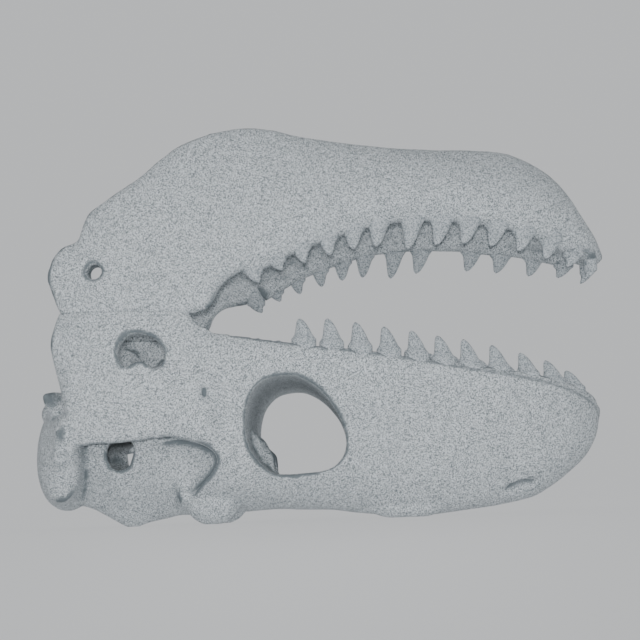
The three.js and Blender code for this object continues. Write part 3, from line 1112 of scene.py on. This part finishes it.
@dataclass(frozen=True)
class UpperTeeth:
    """The upper tooth rows of both sides."""

    lines: Profile = Profile()
    size: ToothSize = ToothSize(
        width=Curve(((-36, 52), (536, 52))),
        lean=Curve(((-36, 9), (536, 14))),
        thickness=28,
        sunk=46,
        gum=-2,
    )
    inset: float = 34.0
    inward: float = -4.0
    tips: Outline = (
        (-36, 443), (22, 444), (81, 437), (141, 428), (199, 420), (254, 410), (309, 403),
        (370, 392), (432, 377), (488, 363), (536, 344),
    )

    def build(self, finish: bpy.types.Material) -> bpy.types.Object:
        """Both rows as one piece, dressed.

        Args:
            finish: the teeth's material.

        Returns:
            The piece.
        """
        teeth = []
        for side in Side:
            for tip_x, tip_z in self.tips:
                x = tip_x + self.size.lean(tip_x)
                y = side.value * (self.lines.margin_half_width(x) - self.inset)
                tip, inward = Vector((tip_x, y, tip_z)), side.value * self.inward
                teeth.append(self.size.shape(x, self.lines.jaw_margin(x), tip, inward))
        made = gather("upper_teeth", teeth)
        self.size.note_outline_shade(made)
        return dress(settle(made, ()), finish)


@dataclass(frozen=True)
class LowerTeeth:
    """One lower tooth row."""

    side: Side
    size: ToothSize = ToothSize(
        width=Curve(((-122, 44), (77, 50), (193, 56), (434, 54), (546, 46), (590, 30))),
        lean=Curve(((-122, -12), (27, -5), (126, 4), (254, 12), (590, 13))),
        thickness=28,
        sunk=34,
        gum=14,
    )
    inset: float = 34.0
    inward: float = 3.0
    least_half_width: float = 24.0
    missing_right: int = 8
    tips: Outline = (
        (-122, 517), (-75, 544), (-26, 561), (27, 578), (77, 592), (126, 598), (193, 594),
        (254, 604), (313, 608), (373, 605), (434, 597), (493, 584), (546, 573), (590, 552),
    )

    def build(self, finish: bpy.types.Material) -> bpy.types.Object:
        """The row as one piece, dressed.

        Args:
            finish: the teeth's material.

        Returns:
            The piece.
        """
        teeth = []
        jaw = LowerJaw(self.side)
        for i, (drawn_x, tip_z) in enumerate(self.tips):
            if self.side is Side.RIGHT and i == self.missing_right:
                continue
            tip_x = drawn_x - jaw.shift(drawn_x)
            x = tip_x + self.size.lean(drawn_x)
            y = self.side.value * max(self.least_half_width, jaw.half_width(x) - self.inset)
            tip, inward = Vector((tip_x, y, tip_z)), self.side.value * self.inward
            teeth.append(self.size.shape(x, jaw.margin(x), tip, inward))
        made = gather(f"lower_teeth_{self.side.word}", teeth)
        self.size.note_outline_shade(made)
        return dress(settle(made, ()), finish)


Value = "Socket | float"


@dataclass(frozen=True)
class Socket:
    """A shader output that takes part in sums."""

    shader: Shader
    out: bpy.types.NodeSocket

    def math(self, operation: str, first: Value, second: Value) -> Socket:
        """Adds a Math node for two numbers or outputs."""
        return self.shader.node("ShaderNodeMath", {"operation": operation}, {0: first, 1: second})

    def __add__(self, other: Value) -> Socket:
        """The sum."""
        return self.math("ADD", self, other)

    __radd__ = __add__

    def __mul__(self, other: Value) -> Socket:
        """The product."""
        return self.math("MULTIPLY", self, other)

    __rmul__ = __mul__

    def __sub__(self, other: Value) -> Socket:
        """The difference."""
        return self.math("SUBTRACT", self, other)

    def __rsub__(self, other: Value) -> Socket:
        """The difference, from a number."""
        return self.math("SUBTRACT", other, self)

    def at_least(self, other: Value) -> Socket:
        """The larger of the two."""
        return self.math("MAXIMUM", self, other)


class Shader:
    """A material whose nodes are made one by one."""

    def __init__(self, name: str) -> None:
        """Starts a material with its surface node alone.

        Args:
            name: the material's name.
        """
        self.material = bpy.data.materials.new(name)
        self.material.use_nodes = True
        self.tree = self.material.node_tree
        self.surface = self.tree.nodes["Principled BSDF"]

    def node(
        self,
        kind: str,
        settings: dict[str, object],
        inputs: dict[str | int, object],
        output: str | int = 0,
    ) -> Socket:
        """Adds a node.

        Args:
            kind: the node's type.
            settings: its options, such as a Math node's operation.
            inputs: the value or link of each socket that is set.
            output: which output is handed back.

        Returns:
            That output.
        """
        made = self.tree.nodes.new(kind)
        for name, value in settings.items():
            setattr(made, name, value)
        for name, value in inputs.items():
            self.feed(made.inputs[name], value)
        return Socket(self, made.outputs[output])

    def feed(self, target: bpy.types.NodeSocket, value: object) -> None:
        """Links an output to a socket, or sets the socket's value."""
        if isinstance(value, Socket):
            self.tree.links.new(value.out, target)
        else:
            target.default_value = value

    def kept(self, name: str) -> Socket:
        """What was kept for each point of the piece under a name."""
        return self.node("ShaderNodeAttribute", {"attribute_name": name}, {}, "Fac")

    def blend(self, factor: Value, first: object, second: object) -> Socket:
        """Mixes two colours, which are the Mix node's sockets 6 and 7, by a factor."""
        inputs = {0: factor, 6: first, 7: second}
        return self.node("ShaderNodeMix", {"data_type": "RGBA"}, inputs, 2)

    def grain(self, where: Socket, scale: float, detail: float, roughness: float) -> Socket:
        """Cloudy noise at a scale, in patches per metre."""
        inputs = {"Vector": where, "Scale": scale, "Detail": detail, "Roughness": roughness}
        return self.node("ShaderNodeTexNoise", {}, inputs)

    def set(self, **values: object) -> None:
        """Sets the surface's sockets, named with underscores for spaces."""
        for name, value in values.items():
            self.feed(self.surface.inputs[name.replace("_", " ")], value)


@dataclass(frozen=True)
class CastFinish:
    """Pale blue-grey cast bone: matt and finely stippled, with painted shade that darkens its hollows,
    rims and creases.
    """

    name: str
    pale: Colour
    deep: Colour
    worn: Colour
    roughness: float
    contrast: float
    pitting: float
    stipple: float = 680.0
    dot_from: float = 0.36
    dot_to: float = 0.72
    cloud: tuple[float, float, float] = (9.0, 4.0, 0.55)
    fine: tuple[float, float, float] = (240.0, 5.0, 0.7)
    wear: float = 0.6
    # How strongly painted shade darkens hollows, and where and how strongly painted dark lines run
    # along rims
    hollow_shade: float = 0.4
    rim_from: float = 0.58
    rim_shade: float = 2.3
    pit_depth: float = 0.0012
    uneven: float = 0.16
    shine: float = 0.3

    def dots(self, shader: Shader, where: Socket) -> Socket:
        """The fine stipple, 1 on a dot and 0 off it.

        Args:
            shader: the finish's shader.
            where: the place on the piece.

        Returns:
            The stipple.
        """
        inputs = {"Vector": where, "Scale": self.stipple, "Randomness": 1.0}
        cells = shader.node("ShaderNodeTexVoronoi", {}, inputs, "Color")
        limits = {"From Min": self.dot_from, "From Max": self.dot_to, "To Min": 0.0, "To Max": 1.0}
        smooth = {"interpolation_type": "SMOOTHSTEP"}
        return shader.node("ShaderNodeMapRange", smooth, {"Value": cells, **limits})

    def make(self) -> bpy.types.Material:
        """The finish as a material."""
        shader = Shader(self.name)
        where = shader.node("ShaderNodeTexCoord", {}, {}, "Object")
        hollow, rim = shader.kept("hollow"), shader.kept("rim")
        cloud, fine = shader.grain(where, *self.cloud), shader.grain(where, *self.fine)
        dot = self.dots(shader, where)
        cloudy = shader.blend(cloud * self.wear, self.pale, self.worn)
        dotted = shader.blend(dot * self.contrast, cloudy, self.deep)
        # Painted shade in hollows and painted dark lines along rims, blended towards the deep colour
        shaded = shader.blend(hollow.at_least(0.0) * self.hollow_shade, dotted, self.deep)
        sharp = (rim - self.rim_from).at_least(0.0) * self.rim_shade
        height = fine * 0.35 + cloud * 0.5 - dot * 0.5
        pits = {"Strength": self.pitting, "Distance": self.pit_depth, "Height": height}
        shader.set(
            Base_Color=shader.blend(sharp, shaded, self.deep),
            Roughness=fine * self.uneven + self.roughness,
            Normal=shader.node("ShaderNodeBump", {}, pits, "Normal"),
            Specular_IOR_Level=self.shine,
        )
        return shader.material


@dataclass(frozen=True)
class StudioFinish:
    """The plain pale sweep under and behind the skull, which glows a little, like a light table."""

    colour: Colour = (0.1, 0.102, 0.104, 1.0)
    glow: Colour = (0.96, 0.98, 1.0, 1.0)
    strength: float = 0.6
    roughness: float = 0.95

    def make(self) -> bpy.types.Material:
        """The sweep's finish as a material."""
        shader = Shader("studio_floor")
        shader.set(Base_Color=self.colour, Roughness=self.roughness, Specular_IOR_Level=0.0)
        shader.set(Emission_Color=self.glow, Emission_Strength=self.strength)
        return shader.material


def hang(data: bpy.types.Light, at: Place, height: float) -> None:
    """Puts a lamp into the scene, aimed at a height over the skull's middle.

    Args:
        data: the lamp, whose name its object takes.
        at: where it hangs.
        height: the height it faces.
    """
    made = bpy.data.objects.new(data.name, data)
    made.location = at
    aim = Vector((0.0, 0.0, height)) - Vector(at)
    made.rotation_euler = aim.to_track_quat("-Z", "Y").to_euler()
    bpy.context.scene.collection.objects.link(made)


@dataclass(frozen=True)
class SoftLamp:
    """A soft square lamp that faces the skull's middle."""

    name: str
    at: Place
    size: float
    watts: float
    height: float = 0.4

    def build(self) -> None:
        """Puts the lamp into the scene."""
        data = bpy.data.lights.new(self.name, "AREA")
        data.size, data.energy = self.size, self.watts
        hang(data, self.at, self.height)


@dataclass(frozen=True)
class MouthLamp:
    """A spot beside the camera that lights into the mouth."""

    name: str = "front"
    at: Place = (0.08, -2.95, 0.08)
    height: float = 0.7
    watts: float = 195.0
    softness: float = 0.05
    cone: float = 40.0
    edge: float = 0.25

    def build(self) -> None:
        """Puts the spot into the scene."""
        data = bpy.data.lights.new(self.name, "SPOT")
        data.energy, data.shadow_soft_size = self.watts, self.softness
        data.spot_size, data.spot_blend = math.radians(self.cone), self.edge
        hang(data, self.at, self.height)


@dataclass(frozen=True)
class Studio:
    """The pale floor, the lamps and the camera, whose place is in the drawing's millimetres."""

    camera_at: Place = (100.0, -2800.0, 50.0)
    camera_to: Place = (0.0, 0.0, 468.0)
    lens: float = 70.82
    sensor: float = 36.0
    nearest: float = 0.05
    farthest: float = 100.0
    floor_size: float = 30.0
    floor_rows: int = 64
    sweep_from: float = 3.0
    sweep_radius: float = 6.0
    sky: Colour = (0.45, 0.457, 0.464, 1.0)
    sky_strength: float = 1.0
    lamps: tuple[SoftLamp | MouthLamp, ...] = (
        SoftLamp("key", (-1.4, -3.4, 2.0), 3.0, 18.0),
        SoftLamp("fill", (2.4, -3.0, 0.8), 2.4, 14.0),
        SoftLamp("rear", (0.4, 2.8, 2.4), 2.6, 12.0),
        MouthLamp(),
    )

    def camera(self) -> None:
        """The camera, just above the floor and level with the photograph's view."""
        data = bpy.data.cameras.new("camera")
        data.lens, data.sensor_width = self.lens, self.sensor
        data.clip_start, data.clip_end = self.nearest, self.farthest
        made = bpy.data.objects.new("camera", data)
        look = Vector(self.camera_to) - Vector(self.camera_at)
        turn = look.to_track_quat("-Z", "Y").to_matrix().to_4x4()
        aim = level_frame() @ Matrix.Translation(self.camera_at) @ turn
        made.location = aim.translation * MILLIMETRE
        made.rotation_euler = aim.to_euler()
        bpy.context.scene.collection.objects.link(made)
        bpy.context.scene.camera = made

    def floor(self) -> None:
        """A sweep: a floor that turns up softly far behind the skull."""
        bm = bmesh.new()
        rows, quarter = self.floor_rows, self.sweep_radius * math.pi / 2
        bmesh.ops.create_grid(bm, x_segments=rows, y_segments=rows, size=self.floor_size)
        for vert in bm.verts:
            beyond = max(0.0, vert.co.y - self.sweep_from)
            turn = min(beyond / self.sweep_radius, math.pi / 2)
            vert.co.z = self.sweep_radius * (1 - math.cos(turn)) + max(0.0, beyond - quarter)
            vert.co.y = min(vert.co.y, self.sweep_from) + self.sweep_radius * math.sin(turn)
        made = new_object("studio_floor", bm)
        made.data.materials.append(StudioFinish().make())

    def world(self) -> None:
        """The even light from all round."""
        made = bpy.data.worlds.new("studio")
        made.use_nodes = True
        background = made.node_tree.nodes["Background"]
        background.inputs["Color"].default_value = self.sky
        background.inputs["Strength"].default_value = self.sky_strength
        bpy.context.scene.world = made

    def build(self) -> None:
        """Sets up the whole studio."""
        self.camera()
        self.floor()
        for lamp_plan in self.lamps:
            lamp_plan.build()
        self.world()


# deep colours the stipple dots, and also the painted shade in hollows, along rims and along the
# teeth's front and back edges
BONE = CastFinish(
    name="cast_bone",
    pale=(0.6, 0.645, 0.675, 1.0),
    deep=(0.13, 0.155, 0.17, 1.0),
    worn=(0.68, 0.715, 0.74, 1.0),
    roughness=0.66,
    contrast=1.0,
    pitting=0.4,
)
TOOTH = CastFinish(
    name="cast_tooth",
    pale=(0.48, 0.52, 0.55, 1.0),
    deep=(0.11, 0.135, 0.15, 1.0),
    worn=(0.53, 0.57, 0.6, 1.0),
    roughness=0.5,
    contrast=0.9,
    pitting=0.2,
)


def main() -> None:
    """Builds the studio and the skull, piece by piece."""
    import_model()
    Studio().build()
    bone, tooth = BONE.make(), TOOTH.make()
    for part in (UpperSkull(), LowerJaw(Side.LEFT), LowerJaw(Side.RIGHT)):
        part.build(bone)
    for row in (UpperTeeth(), LowerTeeth(Side.LEFT), LowerTeeth(Side.RIGHT)):
        row.build(tooth)


if __name__ == "__main__":
    logging.basicConfig(level=logging.INFO, format="%(message)s")
    main()
